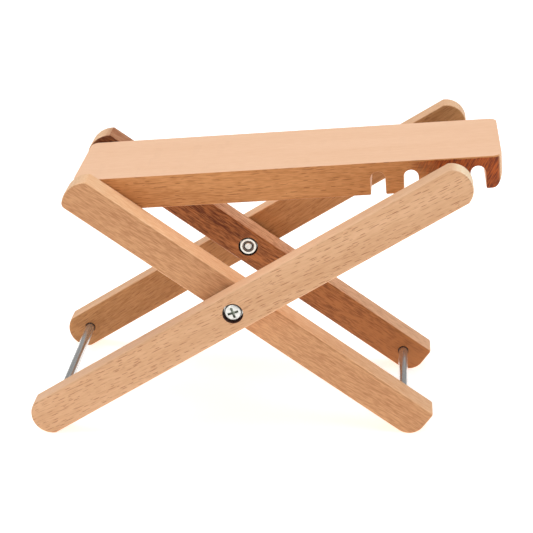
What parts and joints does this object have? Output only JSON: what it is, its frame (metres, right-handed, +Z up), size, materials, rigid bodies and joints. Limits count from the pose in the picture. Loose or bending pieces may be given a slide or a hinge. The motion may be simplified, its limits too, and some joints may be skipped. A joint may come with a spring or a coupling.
{
  "type": "footstool",
  "caption": "Folding wooden footstool: crossed legs carry a tilting foot board, set to height by dropping a notch under the board over a steel rod.",
  "frame": {"origin": "centre of the part's bounding box at floor level, with the four feet on z = 0", "axes": "+X along the board towards its notched end, +Z up, -Y towards the front pair of legs"},
  "size_m": [0.2378, 0.12, 0.1501],
  "materials": {
    "outer_leg_front": "natural beech, sanded, satin",
    "outer_leg_back": "natural beech, sanded, satin",
    "inner_leg_front": "natural beech, sanded, satin",
    "inner_leg_back": "natural beech, sanded, satin",
    "outer_foot_rod": "satin steel rod",
    "notch_rod": "satin steel rod",
    "inner_foot_rod": "satin steel rod",
    "hinge_rod": "satin steel rod",
    "top_board": "natural beech, sanded, satin",
    "pivot_bolt_front": "bright zinc plated",
    "pivot_bolt_back": "bright zinc plated",
    "head_washer_front": "bright zinc plated",
    "head_washer_back": "bright zinc plated",
    "leg_spacer_front": "nylon",
    "leg_spacer_back": "nylon",
    "nut_washer_front": "bright zinc plated",
    "nut_washer_back": "bright zinc plated",
    "lock_nut_front": "bright zinc plated",
    "lock_nut_back": "bright zinc plated",
    "nylon_ring_front": "nylon",
    "nylon_ring_back": "nylon"
  },
  "bodies": {
    "outer_legs": {"outer_leg_front": "outer_leg_front", "outer_leg_back": "outer_leg_back", "outer_foot_rod": "outer_foot_rod", "notch_rod": "notch_rod", "pivot_bolt_front": "pivot_bolt_front", "pivot_bolt_back": "pivot_bolt_back", "head_washer_front": "head_washer_front", "head_washer_back": "head_washer_back", "leg_spacer_front": "leg_spacer_front", "leg_spacer_back": "leg_spacer_back", "nut_washer_front": "nut_washer_front", "nut_washer_back": "nut_washer_back", "lock_nut_front": "lock_nut_front", "lock_nut_back": "lock_nut_back", "nylon_ring_front": "nylon_ring_front", "nylon_ring_back": "nylon_ring_back"},
    "inner_legs": {"inner_leg_front": "inner_leg_front", "inner_leg_back": "inner_leg_back", "inner_foot_rod": "inner_foot_rod", "hinge_rod": "hinge_rod"},
    "board": {"top_board": "top_board"}
  },
  "joints": [
    {"name": "leg_fold", "type": "hinge", "parent": "outer_legs", "child": "inner_legs", "pos_m": [-0.01324, 0, 0.07147], "axis": [0, -1, 0], "range_deg": [0, 66]},
    {"name": "board_swing", "type": "hinge", "parent": "inner_legs", "child": "board", "pos_m": [-0.08689, 0, 0.12231], "axis": [0, -1, 0], "range_deg": [0, 66.5]}
  ],
  "couplings": [
    {"joint": "board_swing", "follows": "leg_fold", "ratio": 1}
  ]
}
